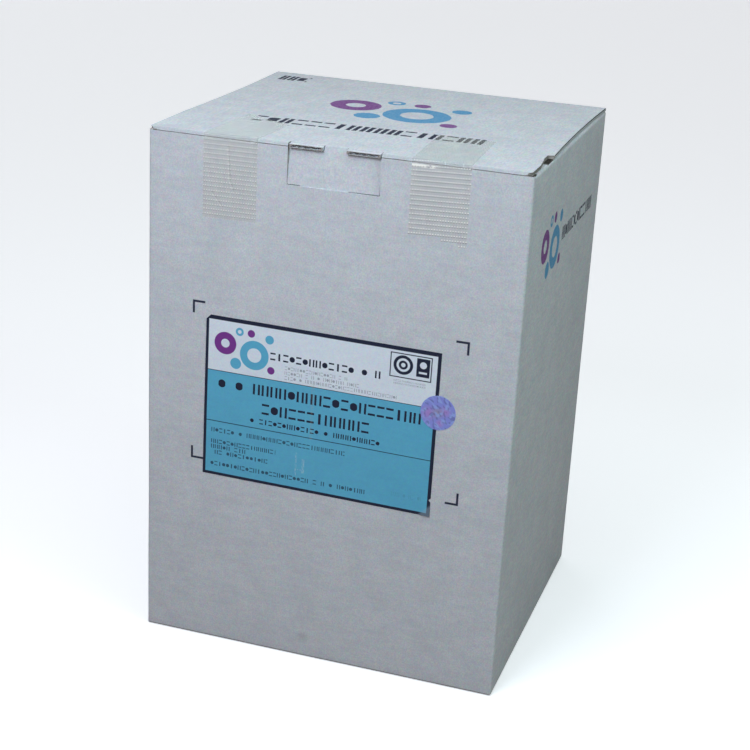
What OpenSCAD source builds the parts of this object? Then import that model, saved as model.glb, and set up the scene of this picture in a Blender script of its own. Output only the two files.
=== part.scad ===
// Powder carton of white-lined corrugated board with a taped tuck lid.
// The front faces -Y, the floor is z = 0 and the origin is under the middle of the carton.

/* [Carton] */
// Outside width, from side panel to side panel
carton_w = 330; // [290:1:400]
// Outside depth, from front panel to back panel
carton_d = 295; // [240:1:380]
// Outside height, from the floor to the top of the lid
carton_h = 468; // [420:1:560]

/* [Corrugated board] */
// Thickness of the board
board_t = 3; // [2.6:0.1:4]
// Outside radius of a fold
fold_r = 2.6; // [1.8:0.1:3]
// Distance from one flute to the next
flute_pitch = 6.1; // [5.4:0.1:8]
// Thickness of one flat liner sheet
liner_t = 0.35; // [0.25:0.05:0.5]
// Thickness of the wavy sheet between the liners
wave_t = 0.35; // [0.25:0.05:0.5]
// How far an open flute is followed in from a cut edge
flute_reach = 7; // [5:0.5:8]
// How far the wavy sheet stands back from a cut edge
wave_setback = 1.2; // [0.6:0.1:2]

/* [Lid] */
// Gap between the lid's front fold and the front panel
lid_gap = 0.5; // [0.3:0.1:0.9]
// Gap between the lid and the side flaps under it
flap_gap = 0.5; // [0.3:0.1:1]
// How far that gap runs in under the lid
flap_gap_reach = 10; // [8:1:16]
// Setback of the lid's side edge where it is flush with the side fold
lid_inset = 0.4; // [0.2:0.1:1]
// How much further the side edge bows in at the middle of its length
lid_bow = 2.2; // [1:0.1:3]
// Setback of the side edge beside the front corner
corner_inset = 2.4; // [1.8:0.1:3]
// Setback of the side edge in the notch behind the corner
notch_inset = 5.4; // [4:0.1:7]
// Distance from the front panel to where the notch begins
notch_start = 30; // [20:1:40]
// Distance from the front panel to the deepest stretch of the notch
notch_deep = 56; // [46:1:60]
// Distance from the front panel to the back end of the notch
notch_end = 70; // [66:1:80]

/* [Lock] */
// Width of the cut-out in the front panel
lock_w = 80; // [60:1:100]
// Height of the cut-out, measured down from the top of the lid
lock_h = 35; // [24:1:50]
// Distance of the cut-out's middle from the carton's middle, towards +X
lock_x = -0.8; // [-4:0.1:4]
// Width of the neck that turns down from the lid
neck_w = 19; // [14:0.5:26]
// Width of the slit between the neck and the lid's edge strips
slit_w = 0.8; // [0.5:0.1:1.2]
// Gap between an edge strip and the side of the cut-out
strip_gap = 1; // [0.6:0.1:1.6]
// How far an edge strip's free end is bent down
strip_droop = 0.8; // [0.3:0.1:1.2]
// Gap between the tuck flap and the front panel
tuck_gap = 0.4; // [0.2:0.1:0.8]
// Depth of the tuck flap's tab below the front face, at the lower edge of the cut-out
tab_depth = 1; // [0.5:0.1:2]
// Width of the gap beside the tab's lower corners
tab_gap = 0.6; // [0.4:0.1:1]
// Length of that gap below the left corner
left_gap_l = 11; // [6:1:18]
// Length of that gap below the right corner
right_gap_l = 27; // [16:1:34]
// Length of that gap up beside the right corner
side_gap_l = 12; // [6:1:20]

/* [Side flaps] */
// Depth of the open corner between the front panel and a side flap
corner_hole_h = 9; // [5:0.5:14]
// Length of that corner opening along the side
corner_hole_l = 12; // [8:0.5:16]
// Thickness of the outer skin left standing around the openings
skin_t = 1; // [0.7:0.1:1.4]
// Height of the relief under the lid's notch
relief_h = 4; // [2:0.5:6]
// Width of that relief across the side flap
relief_w = 12; // [8:0.5:16]

/* [Bottom] */
// Width of the seam between the two bottom flaps
seam_w = 1.4; // [0.8:0.1:2.4]
// How far the locked halves of the seam stand off the middle
seam_step = 9; // [4:0.5:16]
// Length of the slanted middle part of the seam
seam_slant = 46; // [30:1:80]
// Width of a pressed crease line
crease_w = 1.2; // [0.6:0.1:2]
// Depth of a pressed crease line
crease_h = 0.5; // [0.3:0.1:0.8]

/* [Glued joint] */
// Gap beside the raw edge of the glued joint, at the back left corner
joint_gap = 0.8; // [0.5:0.1:1.2]

/* [Label] */
// Width of the label
label_w = 210; // [150:1:240]
// Height of the label
label_h = 148; // [100:1:160]
// Thickness of the label
label_t = 0.2; // [0.1:0.05:0.4]
// Distance of the label's middle from the carton's middle, towards +X
label_x = -5.6; // [-12:0.1:6]
// Height of the label's middle above the floor
label_z = 236; // [160:1:280]
// Turn of the label, clockwise as seen from the front
label_turn = 0.6; // [0:0.1:2]
// Size of the piece missing from the label's top left corner
label_chip = 4; // [1:0.5:8]
// Depth of the small tear in the label's right edge
label_tear = 2; // [1:0.5:4]
// Height of that tear above the label's lower edge
label_tear_z = 15; // [14:1:30]
// Length along the label's edges of its lifted lower right corner
label_fold = 11; // [6:1:11]
// How far the tip of that corner stands off the board
label_lift = 1; // [0.4:0.1:1.6]

/* [Seal] */
// Diameter of the round foil seal
seal_d = 30.5; // [22:0.5:40]
// Thickness of the foil
seal_t = 0.15; // [0.1:0.05:0.3]
// Distance from the label's right edge out to the seal's middle
seal_out = 0.5; // [-4:0.5:6]
// Height of the seal's middle above the label's middle
seal_up = 21.4; // [0:0.2:40]

/* [Tapes] */
// Thickness of the strapping tape
tape_t = 0.25; // [0.15:0.05:0.4]
// Width of the left tape
left_tape_w = 48; // [36:1:52]
// Distance of the left tape's middle from the carton's middle
left_tape_out = 91; // [80:1:96]
// Length of the left tape down the front, from the top of the lid
left_tape_drop = 72; // [50:1:110]
// Length of the left tape back over the lid, at its outer edge
left_tape_run = 86; // [60:1:120]
// How much shorter it is at its inner edge
left_tape_slant = 24; // [0:1:30]
// Width of the right tape
right_tape_w = 49.5; // [36:0.5:52]
// Distance of the right tape's middle from the carton's middle
right_tape_out = 89.3; // [80:0.1:96]
// Length of the right tape down the front, at its inner edge
right_tape_drop = 62.5; // [45:0.5:100]
// Length of the right tape back over the lid, at its inner edge
right_tape_run = 84; // [60:1:120]
// How much longer it is at its outer edge
right_tape_slant = 12; // [0:1:24]
// How far its back end has drifted towards the middle
right_tape_drift = 4.8; // [0:0.2:8]
// Height of one step of its torn lower end
tear_step = 3.7; // [1:0.1:5]
// Turn of its weave, which the torn end follows
weave_turn = 2.5; // [0:0.5:4]

/* [Hidden] */
eps = 0.01;
round_fn = 96;
half_w = carton_w / 2;
front_y = -carton_d / 2;
back_y = carton_d / 2;
lid_under = carton_h - board_t;
flap_top = lid_under - flap_gap;
rim_top = carton_h - fold_r - lid_gap;
tuck_y = front_y + board_t + tuck_gap;
lock_low = carton_h - lock_h;
lock_left = lock_x - lock_w / 2;
strip_w = (lock_w - neck_w) / 2 - slit_w - strip_gap;
strip_l = 2 * board_t + fold_r;
bow_start = front_y + notch_end;
bow_end = back_y - board_t;
bow_l = bow_end - bow_start;
bow_r = bow_l * bow_l / (8 * lid_bow) + lid_bow / 2;
wave_points = 8;
void_h = (board_t - 2 * liner_t - wave_t) / 2;
clear = 20;
board_colour = [0.80, 0.84, 0.87];
label_colour = [0.25, 0.52, 0.66];
seal_colour = [0.25, 0.20, 0.62];
tape_colour = [0.72, 0.76, 0.72];

// A profile drawn in Y and Z, drawn out along X
module along_x(length) {
    rotate([90, 0, 90]) linear_extrude(length, center = true) children();
}

// A profile drawn in X and Z, drawn out along Y from y = 0 backwards
module along_y(length) {
    translate([0, length, 0]) rotate([90, 0, 0]) linear_extrude(length) children();
}

// A rectangle from one corner to the other
module span(x0, y0, x1, y1) {
    translate([x0, y0]) square([x1 - x0, y1 - y0]);
}

// A rectangle whose four corners each have their own radius: low left, low right, high right, high left
module folded(x0, y0, x1, y1, r) {
    difference() {
        span(x0, y0, x1, y1);
        corner_cut(x0, y0, 0, r[0]);
        corner_cut(x1, y0, 90, r[1]);
        corner_cut(x1, y1, 180, r[2]);
        corner_cut(x0, y1, 270, r[3]);
    }
}

// What a fold of radius r takes off a square corner
module corner_cut(x, y, turn, r) {
    if (r > 0) translate([x, y]) rotate(turn) difference() {
        translate([-1, -1]) square(r + 1);
        translate([r, r]) circle(r, $fn = round_fn);
    }
}

// One open flute between the wavy sheet and a liner, in the plane of the cut
module flute_void() {
    half = flute_pitch / 2 - wave_t / 2;
    polygon([
        for (i = [0 : wave_points])
            [half * (2 * i / wave_points - 1) * 0.9, 2 * void_h * sin(180 * i / wave_points)]
    ]);
}

// A row of open flutes along a cut edge, first against one liner and then against the other
module flute_row(length) {
    count = floor(length / flute_pitch - 0.5);
    for (i = [0 : count - 1]) {
        at = (i + 0.5 - count / 2) * flute_pitch;
        translate([at - flute_pitch / 4, liner_t]) flute_void();
        translate([at + flute_pitch / 4, board_t - liner_t]) mirror([0, 1]) flute_void();
    }
}

// The carton seen from above: the glued joint makes the back left corner square
module plan() {
    folded(-half_w, front_y, half_w, back_y, [fold_r, fold_r, fold_r, 0]);
}

// The carton seen from the side, with the gap under the lid's front fold
module side_view() {
    difference() {
        folded(front_y, 0, back_y, carton_h, [fold_r, fold_r, fold_r, fold_r]);
        span(front_y - 1, rim_top, front_y + board_t, rim_top + lid_gap);
    }
}

// The body seen from the front: side folds below the lid, and the middle that carries it
module front_view() {
    folded(-half_w, 0, half_w, flap_top, [fold_r, fold_r, fold_r, fold_r]);
    span(flap_gap_reach - half_w, board_t, half_w - flap_gap_reach, lid_under + eps);
}

// One half of the lid's outline, from the middle to the +X edge, set back by a further amount
module half_lid(setback) {
    flush = half_w - lid_inset - setback;
    corner = half_w - corner_inset - setback;
    deep = half_w - notch_inset - setback;
    difference() {
        polygon([
            [-eps, front_y],
            [corner - fold_r, front_y],
            [corner, front_y + fold_r],
            [corner, front_y + notch_start],
            [deep, front_y + notch_deep],
            [deep, front_y + notch_end - (flush - deep) / 2],
            [flush, front_y + notch_end],
            [flush, back_y],
            [-eps, back_y]
        ]);
        translate([flush - lid_bow + bow_r, (bow_start + bow_end) / 2]) circle(bow_r, $fn = 1440);
    }
}

module lid_outline(setback) {
    half_lid(setback);
    mirror([1, 0]) half_lid(setback);
}

// The lid: two liners over a wavy sheet that stands back from the cut side edges
module lid_panel() {
    translate([0, 0, lid_under]) {
        linear_extrude(board_t) lid_outline(wave_setback);
        linear_extrude(liner_t) lid_outline(0);
        translate([0, 0, board_t - liner_t]) linear_extrude(liner_t) lid_outline(0);
    }
}

// The four walls and the packed contents, up to the flaps under the lid
module walls() {
    difference() {
        intersection() {
            linear_extrude(carton_h) plan();
            along_x(carton_w) side_view();
            union() {
                translate([0, front_y, 0]) along_y(carton_d) front_view();
                front_rim();
            }
        }
        for (side = [-1, 1]) side_openings(side);
    }
}

// The front panel is cut off square at the top, up to the gap below the lid
module front_rim() {
    translate([-half_w, front_y, carton_h / 2]) cube([carton_w, board_t, rim_top - carton_h / 2]);
}

// The open corner beside the front panel, and the relief under the lid's notch
module side_openings(side) {
    hole_w = board_t + corner_inset;
    inner = half_w - skin_t;
    x_hole = side > 0 ? inner - hole_w : -inner;
    translate([x_hole, front_y + skin_t, flap_top - corner_hole_h])
        cube([hole_w, corner_hole_l, corner_hole_h + board_t]);
    x_relief = side > 0 ? inner - relief_w : -inner;
    relief_l = (notch_end - notch_start) / 2;
    translate([x_relief, front_y + notch_end - relief_l, flap_top - relief_h])
        cube([relief_w, relief_l + 1, relief_h + board_t]);
}

// The cut-out through the front panel, down to the tuck flap, whose tab leans forward in it
module lock_cutout() {
    translate([lock_x, 0, 0]) along_x(lock_w) {
        polygon([
            [front_y - 1, lock_low],
            [front_y + tab_depth, lock_low],
            [tuck_y, carton_h - fold_r],
            [tuck_y, carton_h + 1],
            [front_y - 1, carton_h + 1]
        ]);
        // The neck rounds over where it turns down into the tuck flap
        corner_cut(tuck_y, carton_h, 270, fold_r);
    }
    tab_gaps();
}

// The gaps where the tab's lower corners stand clear of the cut-out's edges
module tab_gaps() {
    lock_right = lock_left + lock_w;
    translate([lock_left, front_y, lock_low]) cube([left_gap_l, board_t, tab_gap]);
    translate([lock_right - right_gap_l, front_y, lock_low]) cube([right_gap_l, board_t, tab_gap]);
    translate([lock_right - tab_gap, front_y, lock_low]) cube([tab_gap, board_t, side_gap_l]);
}

// The lid's edge strips run on to the front face beside the neck, bent down a little, with open flutes
module edge_strip(side) {
    middle = lock_x + side * (neck_w / 2 + slit_w + strip_w / 2);
    translate([middle, front_y + strip_l, carton_h]) rotate([asin(strip_droop / strip_l), 0, 0])
        translate([0, -strip_l, -board_t]) difference() {
            translate([-strip_w / 2, 0, 0]) cube([strip_w, strip_l, board_t]);
            translate([0, -eps, 0]) along_y(flute_reach) flute_row(strip_w);
        }
}

// The slits that free the edge strips from the neck and from the lid's front fold
module strip_slits() {
    slit_l = board_t + fold_r + tuck_gap;
    slit_low = lid_under - strip_droop;
    slit_h = carton_h + 1 - slit_low;
    for (side = [-1, 1]) {
        inner = lock_x + side * (neck_w + slit_w) / 2;
        outer = lock_x + side * (lock_w - strip_gap) / 2;
        translate([inner - slit_w / 2, front_y - 1, slit_low]) cube([slit_w, slit_l + 1, slit_h]);
        translate([outer - strip_gap / 2, front_y - 1, slit_low]) cube([strip_gap, slit_l + 1, slit_h]);
    }
}

// The seam where the two bottom flaps hook into each other, half to the front and half to the back
module bottom_seam() {
    translate([0, 0, -1]) linear_extrude(board_t + 1) polygon([
        for (edge = [-1, 1]) for (i = [0 : 3])
            let (x = [-half_w - 1, -seam_slant / 2, seam_slant / 2, half_w + 1][edge < 0 ? i : 3 - i])
            let (y = seam_step * (x < 0 ? 1 : -1))
            [x, y + edge * seam_w / 2]
    ]);
}

// The slanted creases of the glued corner flaps, pressed into the bottom
module bottom_creases() {
    reach = (carton_d / 2 - seam_step) * sqrt(2) - 2 * seam_w;
    for (side = [-1, 1]) for (end = [-1, 1])
        translate([side * half_w, end * back_y, 0])
            rotate(90 - side * 90 + side * end * 45 + 180)
                translate([0, -crease_w / 2, -1]) cube([reach - fold_r, crease_w, crease_h + 1]);
}

// The glued joint: the raw edge of the left side panel shows on the back, beside a narrow gap
module glued_joint() {
    translate([-half_w + board_t, back_y - board_t, -1]) cube([joint_gap, board_t + 1, flap_top + 1]);
    translate([-half_w + liner_t, back_y - wave_setback, -1])
        cube([board_t - 2 * liner_t, wave_setback + 1, flap_top - liner_t + 1]);
}

module carton() color(board_colour) difference() {
    union() {
        difference() {
            union() {
                walls();
                intersection() {
                    lid_panel();
                    along_x(carton_w) side_view();
                }
            }
            lock_cutout();
        }
        edge_strip(-1);
        edge_strip(1);
    }
    strip_slits();
    bottom_seam();
    bottom_creases();
    glued_joint();
}

// A square stood on one corner, by the distance from its middle to that corner
module diamond(reach) {
    rotate(45) square(reach * sqrt(2), center = true);
}

// The label's outline in its own plane, with the chipped corner and the small tear
module label_outline() {
    translate([label_x, label_z]) rotate(-label_turn) difference() {
        square([label_w, label_h], center = true);
        translate([-label_w / 2, label_h / 2]) diamond(label_chip);
        translate([label_w / 2, label_tear_z - label_h / 2]) diamond(label_tear);
    }
}

// Presses a flat outline onto the front panel, from the panel out to a given thickness
module on_front(thickness) {
    translate([0, front_y - thickness, 0]) along_y(thickness) children();
}

// The triangle of the label's lower right corner, as it would lie flat
module corner_outline() {
    translate([label_x, label_z]) rotate(-label_turn)
        polygon([
            [label_w / 2 - label_fold, -label_h / 2], [label_w / 2, label_fold - label_h / 2],
            [label_w / 2 + 1, label_fold - label_h / 2], [label_w / 2 + 1, -label_h / 2 - 1],
            [label_w / 2 - label_fold, -label_h / 2 - 1]
        ]);
}

// That corner lifted off the board along its diagonal crease
module lifted_corner() {
    left = label_w / 2 - label_fold;
    right = label_w / 2;
    low = -label_h / 2;
    high = label_fold - label_h / 2;
    translate([label_x, front_y, label_z]) rotate([0, label_turn, 0]) polyhedron(
        [[left, 0, low], [right, 0, high], [right, -label_lift, low],
         [left, -label_t, low], [right, -label_t, high], [right, -label_lift - label_t, low]],
        [[3, 4, 5], [2, 1, 0], [4, 3, 0, 1], [5, 4, 1, 2], [3, 5, 2, 0]]
    );
}

module label() color(label_colour) {
    on_front(label_t) difference() {
        label_outline();
        corner_outline();
    }
    lifted_corner();
}

// The seal lies half on the label and half on the board, and steps down over the label's edge
module seal() color(seal_colour) {
    turned_x = label_x + (label_w / 2 + seal_out) * cos(label_turn) + seal_up * sin(label_turn);
    turned_z = label_z + seal_up * cos(label_turn) - (label_w / 2 + seal_out) * sin(label_turn);
    difference() {
        on_front(label_t + seal_t) translate([turned_x, turned_z]) circle(seal_d / 2, $fn = round_fn);
        on_front(label_t) label_outline();
    }
}

// A band of tape bent over the lid's front fold, as wide as the carton
module tape_band() {
    along_x(carton_w) difference() {
        folded(front_y - tape_t, carton_h / 2, back_y, carton_h + tape_t, [0, 0, 0, fold_r + tape_t]);
        folded(front_y, carton_h / 2 - 1, back_y + 1, carton_h, [0, 0, 0, fold_r]);
    }
}

// Keeps the part of the band under a front outline (X, Z) and a top outline (X, Y)
module trimmed_tape(front_outline, top_outline) {
    fold_line = front_y + fold_r;
    color(tape_colour) intersection() {
        tape_band();
        union() {
            translate([0, front_y - clear, 0]) along_y(clear + fold_r) polygon(front_outline);
            translate([0, 0, carton_h - fold_r]) linear_extrude(clear) intersection() {
                polygon(top_outline);
                span(-half_w, fold_line - eps, half_w, back_y);
            }
        }
    }
}

module tape_left() {
    outer = -left_tape_out - left_tape_w / 2;
    inner = outer + left_tape_w;
    trimmed_tape(
        [[outer, carton_h - left_tape_drop], [inner, carton_h - left_tape_drop + 1],
         [inner, carton_h + clear], [outer, carton_h + clear]],
        [[outer, front_y], [inner, front_y],
         [inner, front_y + left_tape_run - left_tape_slant], [outer, front_y + left_tape_run]]
    );
}

module tape_right() {
    inner = right_tape_out - right_tape_w / 2;
    outer = inner + right_tape_w;
    low = carton_h - right_tape_drop;
    step_1 = inner + right_tape_w * 0.55;
    step_2 = inner + right_tape_w * 0.85;
    rise_1 = (step_1 - inner) * tan(weave_turn);
    rise_2 = (step_2 - inner) * tan(weave_turn);
    rise_3 = (outer - inner) * tan(weave_turn);
    trimmed_tape(
        [[inner, low], [step_1, low + rise_1], [step_1, low + rise_1 - tear_step],
         [step_2, low + rise_2 - tear_step], [step_2, low + rise_2 - 2 * tear_step],
         [outer, low + rise_3 - 2 * tear_step], [outer, carton_h + clear], [inner, carton_h + clear]],
        [[inner, front_y], [outer, front_y], [outer, front_y + fold_r],
         [outer - right_tape_drift, front_y + right_tape_run + right_tape_slant],
         [inner - right_tape_drift, front_y + right_tape_run], [inner, front_y + fold_r]]
    );
}

carton();
label();
seal();
tape_left();
tape_right();
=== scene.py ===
import math

import bpy
from mathutils import Matrix, Vector, noise


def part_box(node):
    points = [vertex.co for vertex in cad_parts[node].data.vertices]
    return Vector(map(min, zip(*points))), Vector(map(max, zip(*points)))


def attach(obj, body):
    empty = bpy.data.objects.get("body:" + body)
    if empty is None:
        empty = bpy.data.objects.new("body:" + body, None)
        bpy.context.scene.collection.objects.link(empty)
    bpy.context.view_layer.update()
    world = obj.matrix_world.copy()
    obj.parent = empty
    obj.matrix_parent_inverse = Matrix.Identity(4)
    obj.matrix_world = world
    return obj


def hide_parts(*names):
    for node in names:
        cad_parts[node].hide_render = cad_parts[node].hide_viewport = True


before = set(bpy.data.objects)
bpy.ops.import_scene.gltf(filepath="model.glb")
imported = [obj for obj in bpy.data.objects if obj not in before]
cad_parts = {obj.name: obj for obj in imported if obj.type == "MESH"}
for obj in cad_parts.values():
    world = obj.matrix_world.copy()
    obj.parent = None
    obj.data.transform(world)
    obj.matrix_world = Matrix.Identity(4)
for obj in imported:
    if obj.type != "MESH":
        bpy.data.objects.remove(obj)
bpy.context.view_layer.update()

# Sizes that the pieces share, in metres
MM = 0.001
LOW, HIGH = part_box("carton")
FRONT, BACK = LOW.y, HIGH.y
LEFT, RIGHT, TOP = LOW.x, HIGH.x, HIGH.z
BOARD = 3 * MM
FOLD = 2.6 * MM
FLUTE_PITCH = 6.1 * MM

# The lock's cut-out in the front panel, and the lid's edge strips beside the neck
LOCK_MIDDLE = -0.8 * MM
LOCK_WIDTH = 80 * MM
LOCK_HEIGHT = 35 * MM
NECK_HALF = 9.5 * MM
STRIP_LENGTH = 8.6 * MM

# The notch in the lid's side edges: where it starts and ends behind the front
NOTCH_START = 30 * MM
NOTCH_END = 70 * MM

# The label, in the plane of the front panel
LABEL_WIDTH = 210 * MM
LABEL_HEIGHT = 148 * MM
LABEL_THICK = 0.2 * MM
LABEL_X = -5.6 * MM
LABEL_Z = 236 * MM
LABEL_TURN = math.radians(-0.6)
LABEL_CHIP = 4 * MM
LABEL_TEAR = 2 * MM
LABEL_TEAR_UP = 15 * MM
LABEL_FOLD = 11 * MM
LABEL_LIFT = 1 * MM

# Colours as sRGB values of the finished surface under white light
NAVY = (26, 35, 60)
# The tone of the painted shade on the board's folds and on a tape over the lid's front fold
FOLD_SHADE_TONE = (120, 124, 130)
LINER_LOW = (201, 206, 211)
LINER_HIGH = (216, 221, 225)
LINER_FLECK = (176, 184, 192)
BOARD_CYAN = (72, 148, 192)
BOARD_PURPLE = (118, 54, 134)
SMUDGE_TONE = (130, 124, 132)
SCUFF_TONE = (232, 234, 236)
CORE = (178, 173, 168)
CORE_DARK = (138, 134, 131)
# The painted shade in the gap along the lid's right edge, and the pale line painted as the highlight below it
EDGE_SHADE_TONE = (92, 98, 102)
EDGE_HIGHLIGHT_TONE = (196, 202, 206)
LABEL_WHITE = (229, 240, 249)
LABEL_WHITE_LOW = (223, 235, 245)
LABEL_BLUE = (97, 185, 217)
LABEL_BLUE_LOW = (93, 178, 212)
LABEL_CYAN = (94, 180, 214)
LABEL_PURPLE = (124, 57, 145)
SCRAPE_TONE = (196, 222, 232)
RUB_TONE = (176, 168, 150)
# Painted light and shade on the label's lifted corner
LIFTED_CORNER_LIGHTING = (150, 172, 188)
FOIL = (150, 160, 244)
FOIL_PINK = (184, 152, 228)
FOIL_GREY = (166, 162, 198)
# The foil's painted glints and painted shade
FOIL_GLINT = (164, 190, 255)
FOIL_SHADE = (104, 112, 176)
# A thread's white with its painted highlight, and the painted shadow beneath a thread, which is also the tone
# of the film's fine lines
THREAD_AND_HIGHLIGHT = (255, 255, 248)
THREAD_SHADOW_AND_LINES = (98, 96, 92)
LEFT_FILM = (198, 196, 182)
RIGHT_FILM = (204, 201, 192)
FILM_ON_LID = (188, 192, 180)
CLEAR_FILM = (220, 220, 214)
FLOOR = (240, 242, 244)
FLOOR_BOUNCE = (160, 153, 149)


def linear(colour):
    """An sRGB colour of three numbers up to 255, as linear light with an alpha of 1"""
    def channel(value):
        share = value / 255
        return share / 12.92 if share <= 0.04045 else ((share + 0.055) / 1.055) ** 2.4
    return tuple(channel(value) for value in colour) + (1.0,)


def smooth(low, high, value):
    """A soft step from 0 at low to 1 at high"""
    share = min(1.0, max(0.0, (value - low) / (high - low)))
    return share * share * (3 - 2 * share)


class Wiring:
    """Adds nodes to one node tree and joins them"""

    def __init__(self, tree):
        self.tree = tree

    def put(self, kind, **settings):
        node = self.tree.nodes.new(kind)
        for name, value in settings.items():
            setattr(node, name, value)
        return node

    def feed(self, socket, value):
        if isinstance(value, bpy.types.NodeSocket):
            self.tree.links.new(value, socket)
        elif value is not None:
            socket.default_value = value

    def fill(self, node, **values):
        """Feeds the inputs of a node by their names"""
        for name, value in values.items():
            self.feed(node.inputs[name.replace("_", " ").title()], value)
        return node.outputs

    def math(self, operation, a, b=None):
        node = self.put("ShaderNodeMath", operation=operation)
        self.feed(node.inputs[0], a)
        self.feed(node.inputs[1], b)
        return node.outputs[0]

    def times(self, a, b):
        return self.math("MULTIPLY", a, b)

    def away(self, aside, above):
        """The distance that two steps at a right angle lead away"""
        return self.math("SQRT", self.math("ADD", self.times(aside, aside), self.times(above, above)))

    def most(self, masks):
        """The strongest of several masks"""
        result = masks[0]
        for mask in masks[1:]:
            result = self.math("MAXIMUM", result, mask)
        return result

    def step(self, value, low, high):
        """A soft step of a value, from 0 at low to 1 at high"""
        node = self.put("ShaderNodeMapRange", interpolation_type="SMOOTHSTEP")
        return self.fill(node, value=value, from_min=low, from_max=high)["Result"]

    def edge(self, value, at, soft):
        """A soft step from 0 to 1 where a value passes an edge"""
        return self.step(value, self.math("SUBTRACT", at, soft), self.math("ADD", at, soft))

    def remap(self, value, low, high, to_low, to_high):
        node = self.put("ShaderNodeMapRange")
        return self.fill(node, value=value, from_min=low, from_max=high,
                         to_min=to_low, to_max=to_high)["Result"]

    def between(self, share, low, high):
        """A value that goes from low to high as a share goes from 0 to 1"""
        return self.remap(share, 0.0, 1.0, low, high)

    def blend(self, share, a, b):
        """One colour laid over another by a share"""
        node = self.put("ShaderNodeMix", data_type="RGBA", blend_type="MIX", clamp_factor=True)
        return self.fill(node, factor=share, a=a, b=b)["Result"]

    def laid_over(self, tone, mask, strength, colour):
        """A tone with a colour laid over it where a mask says, at a strength"""
        return self.blend(self.times(mask, strength), tone, linear(colour))

    def noise(self, vector, scale, detail=2.0, roughness=0.5):
        node = self.put("ShaderNodeTexNoise")
        return self.fill(node, vector=vector, scale=scale, detail=detail, roughness=roughness)["Fac"]

    def tints(self, vector, scale):
        """Three noises that don't follow each other, for red, green and blue"""
        return self.fill(self.put("ShaderNodeTexNoise"), vector=vector, scale=scale, detail=1.0)["Color"]

    def vector_math(self, operation, a, b=None, c=None):
        node = self.put("ShaderNodeVectorMath", operation=operation)
        for socket, value in zip(node.inputs, (a, b, c)):
            self.feed(socket, value)
        return node.outputs["Vector"]

    def tinted(self, tone, tint, strength):
        """A colour whose red, green and blue each follow a noise"""
        share = self.vector_math("MULTIPLY_ADD", tint, strength, [1 - part / 2 for part in strength])
        return self.vector_math("MULTIPLY", tone, share)

    def stretched(self, vector, scale, rotation=(0, 0, 0)):
        node = self.put("ShaderNodeMapping")
        return self.fill(node, vector=vector, rotation=rotation, scale=scale)["Vector"]

    def split(self, vector):
        node = self.put("ShaderNodeSeparateXYZ")
        self.feed(node.inputs[0], vector)
        return node.outputs

    def facing(self):
        """The three parts of the direction that the surface faces"""
        return self.split(self.put("ShaderNodeNewGeometry").outputs["True Normal"])

    def place(self):
        return self.put("ShaderNodeTexCoord").outputs["Object"]

    def sheet_place(self):
        """The piece's own flat pattern, in millimetres across and along"""
        return self.put("ShaderNodeUVMap", uv_map="sheet").outputs["UV"]

    def group(self, tree, **values):
        return self.fill(self.put("ShaderNodeGroup", node_tree=tree), **values)

    def bump(self, height, strength, distance, normal=None):
        node = self.put("ShaderNodeBump")
        return self.fill(node, height=height, strength=strength, distance=distance, normal=normal)["Normal"]


def new_group(name, numbers, outputs, vector=False, triples=()):
    """A node group with number inputs and named outputs, and the wiring to fill it"""
    tree = bpy.data.node_groups.new(name, "ShaderNodeTree")
    if vector:
        tree.interface.new_socket("Vector", in_out="INPUT", socket_type="NodeSocketVector")
    for label in numbers:
        tree.interface.new_socket(label, in_out="INPUT", socket_type="NodeSocketFloat")
    for label in outputs:
        tree.interface.new_socket(label, in_out="OUTPUT", socket_type="NodeSocketFloat")
    for label in triples:
        tree.interface.new_socket(label, in_out="OUTPUT", socket_type="NodeSocketVector")
    wires = Wiring(tree)
    return tree, wires, wires.put("NodeGroupInput").outputs, wires.put("NodeGroupOutput").inputs


# The paper's fibres: how often each noise repeats in a metre, how it is drawn out, and its share of a mix
CLOUD_SCALE = 34.0
STREAK_SCALE = 150.0
STREAK_STRETCH = (0.35, 0.35, 1.6)
CLOUD_SHARE = 0.55
FLECK_SCALE = 760.0
FLECK_STRETCH = (1.0, 0.33, 1.0)
RELIEF_SCALE = 460.0
FINE_TINT_SCALE = 700.0
WIDE_TINT_SCALE = 240.0
WIDE_TINT_SHARE = 0.38


def paper_fibres_group():
    """Cloudy tone, fine fibre flecks, faint tints and relief of a paper surface"""
    tree, w, given, out = new_group(
        "paper_fibres", (), ("Cloud", "Fleck", "Relief"), vector=True, triples=("Tint",)
    )
    cloud = w.noise(given["Vector"], CLOUD_SCALE, 4.0, 0.62)
    streak = w.noise(w.stretched(given["Vector"], STREAK_STRETCH), STREAK_SCALE, 3.0, 0.6)
    mixed = w.math("ADD", w.times(cloud, CLOUD_SHARE), w.times(streak, 1 - CLOUD_SHARE))
    drawn_out = w.stretched(given["Vector"], FLECK_STRETCH)
    fleck = w.noise(drawn_out, FLECK_SCALE, 2.0, 0.6)
    w.feed(out["Cloud"], w.step(mixed, 0.28, 0.72))
    w.feed(out["Fleck"], w.step(fleck, 0.3, 0.7))
    w.feed(out["Relief"], w.noise(given["Vector"], RELIEF_SCALE, 4.0, 0.65))
    fine = w.vector_math("MULTIPLY", w.tints(drawn_out, FINE_TINT_SCALE), (1 - WIDE_TINT_SHARE,) * 3)
    wide = w.tints(drawn_out, WIDE_TINT_SCALE)
    w.feed(out["Tint"], w.vector_math("MULTIPLY_ADD", wide, (WIDE_TINT_SHARE,) * 3, fine))
    return tree


def printed_bar_group():
    """A printed bar with slightly soft edges"""
    tree, w, given, out = new_group(
        "printed_bar", ("Across", "Up", "Left", "Right", "Low", "High", "Soft"), ("Ink",)
    )

    def inside(value, low, high):
        rise = w.edge(value, low, given["Soft"])
        fall = w.edge(value, high, given["Soft"])
        return w.math("SUBTRACT", rise, fall)
    across = inside(given["Across"], given["Left"], given["Right"])
    up = inside(given["Up"], given["Low"], given["High"])
    w.feed(out["Ink"], w.times(across, up))
    return tree


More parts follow.
